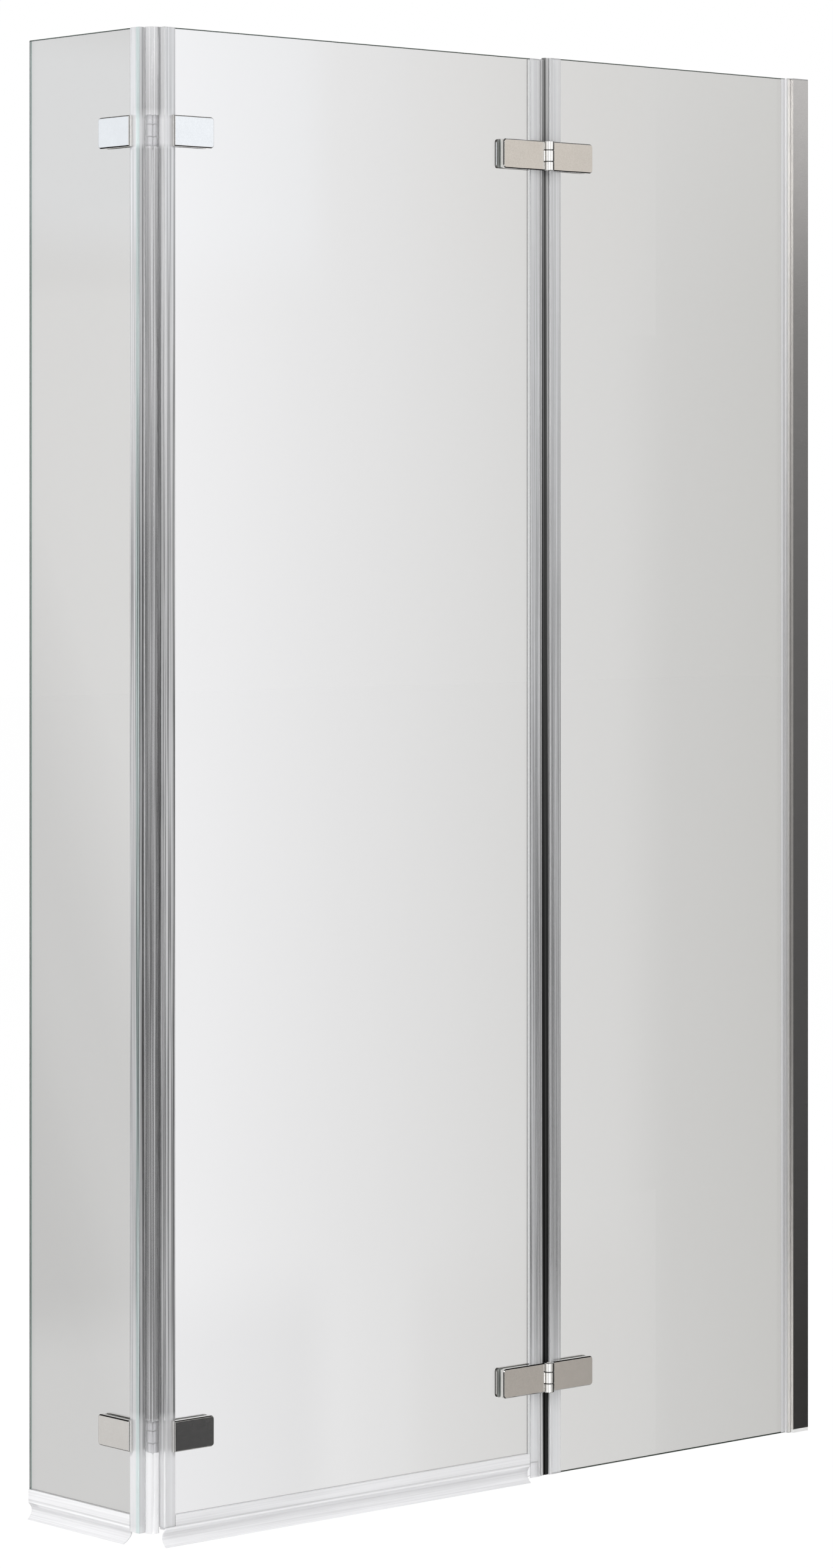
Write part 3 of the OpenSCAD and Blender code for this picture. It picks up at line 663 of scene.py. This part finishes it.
def in_edit_mode(obj, action):
    """Runs an action on the whole mesh of one object in edit mode."""
    only(obj)
    bpy.ops.object.mode_set(mode="EDIT")
    bpy.ops.mesh.select_all(action="SELECT")
    action()
    bpy.ops.object.mode_set(mode="OBJECT")


def use_materials(obj, *names):
    """Gives an object these materials in place of its own."""
    obj.data.materials.clear()
    for name in names:
        obj.data.materials.append(bpy.data.materials[name])


def merged_copy(node_name):
    """A free copy of a CAD node's mesh, with its loose triangles joined into true faces."""
    source = frame["nodes"][node_name]
    made = bpy.data.objects.new(f"dressed_{node_name}", source.data.copy())
    bpy.context.scene.collection.objects.link(made)

    def clean():
        bpy.ops.mesh.remove_doubles(threshold=SAME_PLACE)
        bpy.ops.mesh.dissolve_limited(angle_limit=SAME_PLANE)

    in_edit_mode(made, clean)
    return made


def block(name, low, high):
    """A block between two corners, with its place and size in its mesh."""
    low, high = Vector(low), Vector(high)
    bpy.ops.mesh.primitive_cube_add(size=1, location=(low + high) / 2, scale=high - low)
    made = bpy.context.object
    made.name = name
    bpy.ops.object.transform_apply(location=True, rotation=True, scale=True)
    return made


def bevel_all(obj, width):
    """Cuts every edge of a fresh block back to a narrow face."""
    in_edit_mode(obj, lambda: bpy.ops.mesh.bevel(offset=width, segments=1, affect="EDGES"))


def apply_modifier(obj, kind, **settings):
    """Adds a modifier with these settings, and applies it."""
    only(obj)
    step = obj.modifiers.new(kind, kind)
    for key, value in settings.items():
        setattr(step, key, value)
    bpy.ops.object.modifier_apply(modifier=step.name)


def cut_away(obj, cutter):
    """Cuts one object's shape out of another, and removes the cutter."""
    apply_modifier(obj, "BOOLEAN", operation="DIFFERENCE", solver="EXACT", object=cutter)
    bpy.data.objects.remove(cutter)


def smooth(obj, limit=SHARP):
    """Smooths the shading below the limit."""
    only(obj)
    bpy.ops.object.shade_smooth_by_angle(angle=math.radians(limit))


def soften(obj, width, segments=2, limit=SHARP):
    """Rounds every edge sharper than the limit, and smooths the shading below it."""
    apply_modifier(
        obj, "BEVEL", width=width, segments=segments, limit_method="ANGLE",
        angle_limit=math.radians(limit),
    )
    smooth(obj, limit)
    # Wide faces keep their own direction, so that only the narrow bevels shade round
    apply_modifier(obj, "WEIGHTED_NORMAL", mode="FACE_AREA", weight=100, keep_sharp=True)


def looks_along(face, axis):
    """Whether a face is square to one axis."""
    return abs(face.normal[axis]) > 0.99


def cut_across(obj, axis, places):
    """Cuts a mesh straight across at several places along one axis, with nothing taken away."""
    normal = Vector((0, 0, 0))
    normal[axis] = 1

    def cut():
        for place in places:
            bpy.ops.mesh.select_all(action="SELECT")
            bpy.ops.mesh.bisect(plane_co=normal * place, plane_no=normal)

    in_edit_mode(obj, cut)


def ribbed_clip(sizes, node_name, ribs, tip_low):
    """A clear clip from its CAD section, with fine ribs raised along both of its legs."""
    clip = merged_copy(node_name)
    soften(clip, CLIP_EDGE)
    low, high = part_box(node_name)
    length = 0 if high[0] - low[0] > high[1] - low[1] else 1
    across = 1 - length
    tip, way = (low[length], 1) if tip_low else (high[length], -1)
    places = [tip + way * rib * MM for rib in ribs]
    half = sizes.rib_width / 2
    cut_across(clip, length, [place + side for place in places for side in (-half, half)])
    face_lines = (low[across], high[across])

    def raise_ribs():
        mesh = clip.data
        bpy.ops.mesh.select_all(action="DESELECT")
        bpy.ops.object.mode_set(mode="OBJECT")
        for face in mesh.polygons:
            on_face = any(abs(face.center[across] - line) < ON_PLANE for line in face_lines)
            on_rib = any(abs(face.center[length] - place) < half for place in places)
            face.select = on_face and on_rib and looks_along(face, across)
        bpy.ops.object.mode_set(mode="EDIT")
        bpy.ops.mesh.extrude_region_shrink_fatten(
            TRANSFORM_OT_shrink_fatten={"value": sizes.rib_height}
        )

    in_edit_mode(clip, raise_ribs)
    soften(clip, RIB_EDGE, segments=1, limit=50.0)
    return clip


def body_of(node_name):
    """The body that a CAD node rides on."""
    for body, nodes in frame["record"]["behaviour"]["bodies"].items():
        if node_name in nodes:
            return body
    raise ValueError(node_name)


def stand_for(obj, node_name):
    """The piece stands for its CAD node: the node is hidden, and the piece rides on that node's
    body.
    """
    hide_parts(node_name)
    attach(obj, body_of(node_name))


def finish_clip(clip, finish, node_name):
    """Gives a clip its finish, and a clearer one to the leg that only shows through the glass."""
    part = node_name.split("_")[0]
    thin = 0 if part == "return" else 1
    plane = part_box(f"{part}_glass")[1][thin] - FAR_LEG_PLAY
    use_materials(clip, finish, "Clear far leg")
    for face in clip.data.polygons:
        face.material_index = 1 if face.center[thin] > plane else 0
    stand_for(clip, node_name)


# -------------------- the pieces


class SCREEN_OT_glass(bpy.types.Operator):
    """Make the three panes with ground edges, and holes for the hinges"""

    bl_idname = "bath_screen.glass"
    bl_label = "Glass"

    def execute(self, context):
        arris = context.scene.screen_sizes.glass_arris
        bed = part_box("glazing_gaskets")[0][0] - GASKET_SHOWS
        for part in ("fixed", "door", "return"):
            node_name = f"{part}_glass"
            low, high = (Vector(corner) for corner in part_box(node_name))
            thin = min(range(3), key=lambda axis: high[axis] - low[axis])
            low[thin] += PANE_PLAY
            high[thin] -= PANE_PLAY
            pane = block(f"{part}_pane", low, high)
            bevel_all(pane, arris)
            for screws in frame["nodes"]:
                if screws.endswith(f"_{part}_screws"):
                    self.drill(pane, screws, thin)
            use_materials(
                pane, f"{part.title()} glass", "Glass edge", "Green glass edge",
                "Lit joint glass edge", "Shaded bedded glass",
            )
            free = high[1 - thin] - EDGE_BAND if part == "return" else math.inf
            if part == "fixed":
                cut_across(pane, 0, [bed])
            for face in pane.data.polygons:
                if looks_along(face, thin):
                    bedded = part == "fixed" and face.normal.y < 0 and face.center.x > bed
                    face.material_index = PANE_BEDDED if bedded else PANE_FACE
                elif abs(face.normal.z) > 0.3:
                    face.material_index = PANE_RIM
                else:
                    on_free = face.center[1 - thin] > free
                    face.material_index = PANE_FREE if on_free else PANE_JOINT
            stand_for(pane, node_name)
        return {"FINISHED"}

    def drill(self, pane, screws, thin):
        """Two holes through a pane, where a hinge plate's two screws pass."""
        low, high = (Vector(corner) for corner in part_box(screws))
        length = 1 - thin
        head = (high.z - low.z) / 2
        for place in (low[length] + head, high[length] - head):
            centre = (low + high) / 2
            centre[length] = place
            turn = (0, math.radians(90), 0) if thin == 0 else (math.radians(90), 0, 0)
            bpy.ops.mesh.primitive_cylinder_add(
                vertices=48, radius=GLASS_HOLE / 2, depth=DRILL_LENGTH, location=centre,
                rotation=turn,
            )
            cut_away(pane, bpy.context.object)


class SCREEN_OT_wall_channel(bpy.types.Operator):
    """Dress the wall channel, its profile, gaskets, caps and screws"""

    bl_idname = "bath_screen.wall_channel"
    bl_label = "Wall channel"

    def execute(self, context):
        edge = context.scene.screen_sizes.metal_edge
        finishes = {
            "wall_channel": "Channel aluminium",
            "glazing_profile": "Profile aluminium",
            "glazing_gaskets": "Clear gasket",
            "bottom_cap": "Light cap",
            "top_cap": "Grey cap",
            "profile_screws": "Screw steel",
        }
        for node_name, finish in finishes.items():
            piece = merged_copy(node_name)
            if node_name == "profile_screws":
                smooth(piece)
            else:
                soften(piece, edge)
            use_materials(piece, finish)
            stand_for(piece, node_name)
        return {"FINISHED"}


class SCREEN_OT_hinges(bpy.types.Operator):
    """Dress the four hinges: satin plate faces, bright bevels and barrels, and the small parts"""

    bl_idname = "bath_screen.hinges"
    bl_label = "Hinges"

    def execute(self, context):
        edge = context.scene.screen_sizes.plate_edge
        plain = {"pads": "Clear pad", "pin": "Pin steel", "washers": "Black nylon"}
        for node_name in frame["nodes"]:
            kind = node_name.rsplit("_", 1)[-1]
            if kind in ("leaf", "clamp"):
                self.plate(node_name, edge)
            elif kind in plain:
                use_materials(frame["nodes"][node_name], plain[kind])
            elif kind == "screws" and node_name != "profile_screws":
                use_materials(frame["nodes"][node_name], "Screw steel")
        return {"FINISHED"}

    def plate(self, node_name, edge):
        """A leaf or clamp plate with satin faces, and bright edges and knuckles."""
        piece = merged_copy(node_name)
        use_materials(piece, "Bright hinge metal", "Satin hinge metal", "Lit hinge metal")
        low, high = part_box(node_name)
        across = 0 if high[0] - low[0] < high[1] - low[1] else 1
        for face in piece.data.polygons:
            satin = looks_along(face, across) and face.area > SATIN_AREA
            face.material_index = 1 if satin else 0
        # Near the axis of a corner hinge the faces take painted light, where they show through the
        # web
        if node_name.startswith("corner"):
            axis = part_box(node_name.rsplit("_", 2)[0] + "_pin")
            middle = (Vector(axis[0]) + Vector(axis[1])) / 2
            for face in piece.data.polygons:
                if (face.center.xy - middle.xy).length < LIT_KNUCKLE_REACH:
                    face.material_index = 2
        soften(piece, edge, limit=32.0)
        stand_for(piece, node_name)


class SCREEN_OT_joint_seals(bpy.types.Operator):
    """Make the middle joint's clear clips, with their fine ribs, and its dark strips"""

    bl_idname = "bath_screen.joint_seals"
    bl_label = "Middle joint seals"

    def execute(self, context):
        for part in ("fixed", "door"):
            node_name = f"{part}_joint_seal"
            clip = ribbed_clip(
                context.scene.screen_sizes, node_name, JOINT_RIBS, tip_low=part == "door"
            )
            finish_clip(clip, f"{part.title()} joint seal", node_name)
            node_name = f"{part}_joint_strip"
            strip = merged_copy(node_name)
            soften(strip, STRIP_EDGE, segments=4)
            use_materials(strip, "Joint strip")
            stand_for(strip, node_name)
        return {"FINISHED"}


class SCREEN_OT_corner_seals(bpy.types.Operator):
    """Make the corner's clear clips, with their fine ribs, and its soft rippled web"""

    bl_idname = "bath_screen.corner_seals"
    bl_label = "Corner seals"

    def execute(self, context):
        for part in ("return", "door"):
            node_name = f"{part}_corner_seal"
            clip = ribbed_clip(context.scene.screen_sizes, node_name, CORNER_RIBS, tip_low=False)
            finish_clip(clip, f"{part.title()} corner seal", node_name)
        web = self.web(context.scene.screen_sizes)
        use_materials(web, "Corner web")
        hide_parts("corner_web")
        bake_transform(web)
        return {"FINISHED"}

    def web(self, sizes):
        """The soft web: the CAD's section, cut across many times, and rippled by its own places."""
        web = merged_copy("corner_web")
        low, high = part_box("corner_web")
        count = round((high[2] - low[2]) / WEB_CUT_PITCH)
        cut_across(web, 2, [low[2] + step * WEB_CUT_PITCH for step in range(1, count)])
        radius = CORNER_AXIS.y - low[1]
        first = math.atan2(high[1] - CORNER_AXIS.y, low[0] - CORNER_AXIS.x)
        mesh = web.data
        sheet = []
        for vertex in mesh.vertices:
            arm = vertex.co - CORNER_AXIS
            turn = (math.atan2(arm.y, arm.x) - first) % math.tau
            sheet.append((turn if turn < math.pi * 1.5 else 0.0) * radius)
        places = mesh.uv_layers.new(name="Sheet")
        for loop in mesh.loops:
            places.data[loop.index].uv = (
                sheet[loop.vertex_index], mesh.vertices[loop.vertex_index].co.z
            )
        for vertex, round_way in zip(mesh.vertices, sheet):
            arm = vertex.co - CORNER_AXIS
            arm.z = 0
            wave = noise.noise(
                Vector((round_way / RIPPLE_PITCH, vertex.co.z / RIPPLE_LENGTH, 3.0))
            )
            vertex.co += arm.normalized() * wave * sizes.web_ripple
        smooth(web)
        return web


class SCREEN_OT_bottom_seals(bpy.types.Operator):
    """Dress the wiper seals under the moving panes"""

    bl_idname = "bath_screen.bottom_seals"
    bl_label = "Bottom seals"

    def execute(self, context):
        for node_name in ("door_bottom_seal", "return_bottom_seal"):
            seal = merged_copy(node_name)
            soften(seal, WIPER_EDGE)
            finish_clip(seal, "Bottom seal", node_name)
        return {"FINISHED"}


# -------------------- studio

# How bright the studio is all round, as metal shows it: direction from +X in degrees, then grey
STUDIO_ROUND = (
    (-146, 1.0), (-142, 0.08), (-126, 0.08), (-122, 1.0), (-36, 1.0), (-31, 0.04), (8, 0.04),
    (14, 0.9), (68, 0.9), (74, 0.04), (130, 0.04), (140, 0.55), (162, 0.55), (168, 1.0),
)
# And by the height of the direction: its sine, then grey
STUDIO_HEIGHT = ((-0.56, 0.1), (-0.42, 1.0), (0.42, 1.0), (0.56, 0.1))
# Where a card's soft border begins, with its edge at 0.5: across, and up a tall or a low card
CORE_ACROSS, CORE_TALL, CORE_LOW = 0.35, 0.42, 0.2
# What the camera sees of the floor: a share of its colour, which takes the shadow, and a glow
FLOOR_SHARE, FLOOR_GLOW = 0.27, 0.82
# The soft light: where it stands, what it looks at, and its size
KEY_PLACE, KEY_TARGET, KEY_SIZE = (-3.4, -1.4, 3.2), (-0.5, 0, 0.7), (2.4, 1.8)
# The cards that the metal mirrors: name, middle, width, height, tint, and strengths upwards
NEUTRAL, COOL, WARM = (1.0, 1.0, 1.0), (0.91, 0.98, 1.07), (1.04, 0.99, 0.93)
CARDS = (
    ("dark_card", (0.35, -1.5, -0.27), 0.6, 0.5, COOL, ((0.0, 0.05), (1.0, 0.05))),
    ("grey_card", (0.99, -1.5, -0.27), 0.5, 0.5, WARM, ((0.0, 0.6), (1.0, 0.6))),
    ("light_card", (0.35, -1.5, 1.46), 0.6, 0.5, COOL, ((0.0, 1.6), (1.0, 1.6))),
    ("pale_card", (0.99, -1.5, 1.46), 0.5, 0.5, WARM, ((0.0, 0.95), (1.0, 0.95))),
    ("wall_card", (1.6, -1.5, 0.42), 0.9, 2.8, NEUTRAL,
     ((0.0, 0.0), (0.22, 0.01), (0.32, 0.04), (0.48, 0.088), (0.64, 0.155), (0.8, 0.33),
      (0.915, 0.95))),
    ("return_card", (-2.0, 1.5, 1.45), 0.4, 0.4, COOL, ((0.0, 1.6), (1.0, 1.6))),
    ("beige_card", (-2.0, 1.5, -0.245), 0.4, 0.4, NEUTRAL, ((0.0, 1.05), (1.0, 1.05))),
    ("lip_card", (-1.57, 1.5, 0.7), 0.25, 2.4, NEUTRAL,
     ((0.06, 0.8), (0.12, 0.25), (0.4, 0.18), (0.43, 0.8), (0.46, 0.8), (0.49, 0.2),
      (0.55, 0.22), (0.74, 0.5), (0.87, 0.95))),
    ("chamfer_card", (-1.57, -1.5, 0.6), 0.36, 2.4, NEUTRAL,
     ((0.1, 9.0), (0.16, 2.5), (0.22, 0.8), (0.4, 0.6), (0.59, 1.2), (0.78, 3.2),
      (0.86, 6.0), (0.92, 11.0))),
)


def seen_rays(tree, rays):
    """1 for rays that the camera sees directly or through glass."""
    return math_of(tree, "MAXIMUM", rays["Is Camera Ray"], rays["Is Transmission Ray"])


def mirror_rays(tree, rays):
    """1 for rays that a polished surface mirrors, and 0 for those that pass through glass."""
    return math_of(
        tree, "SUBTRACT", rays["Is Glossy Ray"], rays["Is Transmission Ray"], clamp=True
    )


class SCREEN_OT_stage(bpy.types.Operator):
    """Set the camera, the pale floor, the white surround, the cards and the soft light"""

    bl_idname = "bath_screen.stage"
    bl_label = "Studio"

    def execute(self, context):
        studio = context.scene.screen_studio
        self.camera(context, studio)
        self.floor(context, studio)
        self.surround(context, studio)
        self.light(context, studio)
        for card in CARDS:
            self.card(*card)
        context.scene.view_settings.view_transform = "Standard"
        return {"FINISHED"}

    def camera(self, context, studio):
        """The photograph's camera: level, with the frame moved down to hold the whole screen."""
        data = bpy.data.cameras.new("Photo camera")
        data.sensor_width = 36.0
        data.lens = PHOTO_FOCAL / PHOTO_H * data.sensor_width
        data.shift_y = (PHOTO_HORIZON - PHOTO_H / 2) / PHOTO_H
        data.clip_end = 100.0
        camera = bpy.data.objects.new("Photo camera", data)
        camera.location = studio.camera_place
        camera.rotation_euler = (math.radians(90), 0, -studio.camera_turn)
        context.scene.collection.objects.link(camera)
        context.scene.camera = camera

    def floor(self, context, studio):
        """A pale floor below the bath rim, which looks white and keeps the screen's shadow."""
        bpy.ops.mesh.primitive_plane_add(size=60, location=(0, 0, -studio.rim_height))
        floor = context.object
        floor.name = "studio_floor"
        tree, shader = new_material("Studio floor", roughness=0.9, specular_ior_level=0.0)
        seen = seen_rays(tree, node(tree, "LightPath").outputs)
        pale = tuple(context.scene.screen_colours.floor)
        faint = tuple(FLOOR_SHARE * value for value in pale)
        shown = blended(tree, seen, (*pale, 1), (*faint, 1))
        tree.links.new(shown, shader.inputs["Base Color"])
        strength = math_of(tree, "MULTIPLY", seen, FLOOR_GLOW)
        glow = node(tree, "Emission", {"Color": (1, 1, 1, 1), "Strength": strength})
        both = node(tree, "AddShader", {0: shader.outputs[0], 1: glow.outputs[0]})
        tree.links.new(both.outputs[0], tree.nodes["Material Output"].inputs["Surface"])
        use_materials(floor, "Studio floor")
        floor.visible_glossy = False

    def surround(self, context, studio):
        """White behind the screen, even daylight on it, and dark flags in its gloss."""
        world = bpy.data.worlds.new("Studio surround")
        world.use_nodes = True
        context.scene.world = world
        tree = world.node_tree
        rays = node(tree, "LightPath").outputs
        parts = node(tree, "SeparateXYZ", {0: place_in(tree, "Generated")}).outputs
        angle = math_of(tree, "ARCTAN2", parts["Y"], parts["X"])
        turn = mapped(tree, angle, -math.pi, math.pi)
        around = ramp(tree, turn, [((a + 180) / 360, value) for a, value in STUDIO_ROUND])
        rise = mapped(tree, parts["Z"], -1.0, 1.0)
        upward = ramp(tree, rise, [((z + 1) / 2, value) for z, value in STUDIO_HEIGHT])
        daylight = (*(studio.daylight,) * 3, 1)
        plain = blended(tree, seen_rays(tree, rays), daylight, (1, 1, 1, 1))
        shown = blended(tree, mirror_rays(tree, rays), plain, multiplied(tree, around, upward))
        background = tree.nodes["Background"]
        tree.links.new(shown, background.inputs["Color"])
        background.inputs["Strength"].default_value = 1.0

    def card(self, name, middle, width, height, tint, strengths):
        """A soft-edged card that only shows in the gloss of the metal and the glass."""
        upright = (math.radians(90), 0, 0)
        bpy.ops.mesh.primitive_plane_add(size=1, location=middle, rotation=upright)
        card = bpy.context.object
        card.name = name
        card.scale = (width, height, 1)
        material = bpy.data.materials.new(name)
        material.use_nodes = True
        tree = material.node_tree
        tree.nodes.clear()
        parts = node(tree, "SeparateXYZ", {0: place_in(tree)}).outputs
        mask = mirror_rays(tree, node(tree, "LightPath").outputs)
        core = {"X": CORE_ACROSS, "Y": CORE_TALL if height > 1 else CORE_LOW}
        for axis, inner in core.items():
            reach = math_of(tree, "ABSOLUTE", parts[axis])
            edge = mapped(tree, reach, 0.5, inner, interpolation_type="SMOOTHSTEP")
            mask = math_of(tree, "MULTIPLY", mask, edge)
        rise = mapped(tree, parts["Y"], -0.5, 0.5)
        peak = max(value for _, value in strengths)
        stops = [(z, tuple(value / peak * part for part in tint)) for z, value in strengths]
        glow = node(tree, "Emission", {"Color": ramp(tree, rise, stops), "Strength": peak})
        clear = node(tree, "BsdfTransparent")
        mixed = node(tree, "MixShader", {0: mask, 1: clear.outputs[0], 2: glow.outputs[0]})
        node(tree, "OutputMaterial", {"Surface": mixed.outputs[0]})
        card.data.materials.append(material)
        card.visible_camera = card.visible_diffuse = card.visible_transmission = False
        card.visible_volume_scatter = card.visible_shadow = False

    def light(self, context, studio):
        """One large soft light from the upper left of the camera."""
        data = bpy.data.lights.new("Soft key", "AREA")
        data.shape = "RECTANGLE"
        data.size, data.size_y = KEY_SIZE
        data.energy = studio.key_power
        key = bpy.data.objects.new("Soft key", data)
        key.location = KEY_PLACE
        aim = Vector(KEY_TARGET) - key.location
        key.rotation_euler = aim.to_track_quat("-Z", "Y").to_euler()
        key.visible_glossy = key.visible_transmission = False
        context.scene.collection.objects.link(key)


# -------------------- add-on


BUILD_ORDER = (
    SCREEN_OT_glass,
    SCREEN_OT_wall_channel,
    SCREEN_OT_hinges,
    SCREEN_OT_joint_seals,
    SCREEN_OT_corner_seals,
    SCREEN_OT_bottom_seals,
    SCREEN_OT_stage,
)


class VIEW3D_PT_bath_screen(bpy.types.Panel):
    """Sizes, colours and steps of the bath screen"""

    bl_idname = "VIEW3D_PT_bath_screen"
    bl_label = "Bath Screen"
    bl_space_type = "VIEW_3D"
    bl_region_type = "UI"
    bl_category = "Bath Screen"

    def draw(self, context):
        layout, scene = self.layout, context.scene
        for group in (scene.screen_sizes, scene.screen_colours, scene.screen_studio):
            column = layout.column()
            for name in type(group).__annotations__:
                column.prop(group, name)
        for step in BUILD_ORDER:
            layout.operator(step.bl_idname)


CLASSES = (ScreenSizes, ScreenColours, ScreenStudio, *BUILD_ORDER, VIEW3D_PT_bath_screen)


def register():
    """Registers the classes, and hangs the user's settings on the scene."""
    for cls in CLASSES:
        bpy.utils.register_class(cls)
    bpy.types.Scene.screen_sizes = PointerProperty(type=ScreenSizes)
    bpy.types.Scene.screen_colours = PointerProperty(type=ScreenColours)
    bpy.types.Scene.screen_studio = PointerProperty(type=ScreenStudio)


def unregister():
    """Takes away what register() added."""
    del bpy.types.Scene.screen_studio
    del bpy.types.Scene.screen_colours
    del bpy.types.Scene.screen_sizes
    for cls in reversed(CLASSES):
        bpy.utils.unregister_class(cls)


def main():
    """Builds the materials and every piece."""
    register()
    make_materials(bpy.context.scene.screen_colours)
    for step in BUILD_ORDER:
        group, name = step.bl_idname.split(".")
        getattr(getattr(bpy.ops, group), name)()


if __name__ == "__main__":
    main()
